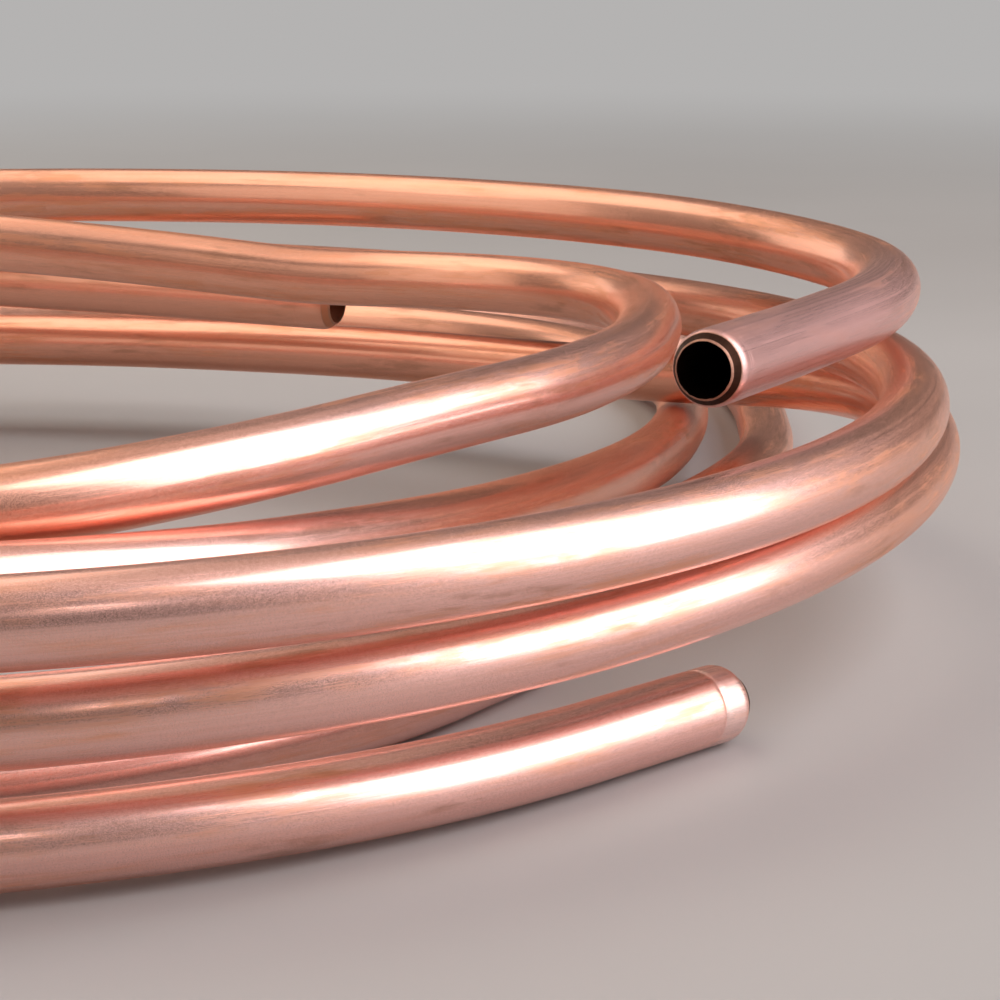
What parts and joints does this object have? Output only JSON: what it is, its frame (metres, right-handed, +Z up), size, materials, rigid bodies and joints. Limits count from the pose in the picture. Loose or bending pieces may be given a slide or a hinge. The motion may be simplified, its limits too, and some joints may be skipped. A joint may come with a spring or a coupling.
{
  "type": "copper tube coil",
  "caption": "Loosely wound coil of bright round copper tube with free cut ends, lying flat as loose stock for pipework.",
  "frame": {"origin": "middle of the coil's outline, on the level that it lies on", "axes": "+Z up, the coil lies flat; both lengths run counter-clockwise seen from above from their upper ends; the small loop and the open upper end are on the +X side, and -Y faces the viewer"},
  "size_m": [0.5036, 0.646, 0.0823],
  "materials": {
    "bright_copper": "bright drawn copper, fine drawing lines along the tube, light handling marks",
    "bright_copper_inner": "bright drawn copper, a little warmer and duller than the outer length"
  },
  "bodies": {
    "root": {"outer_tube": "bright_copper", "inner_tube": "bright_copper_inner"}
  },
  "joints": []
}
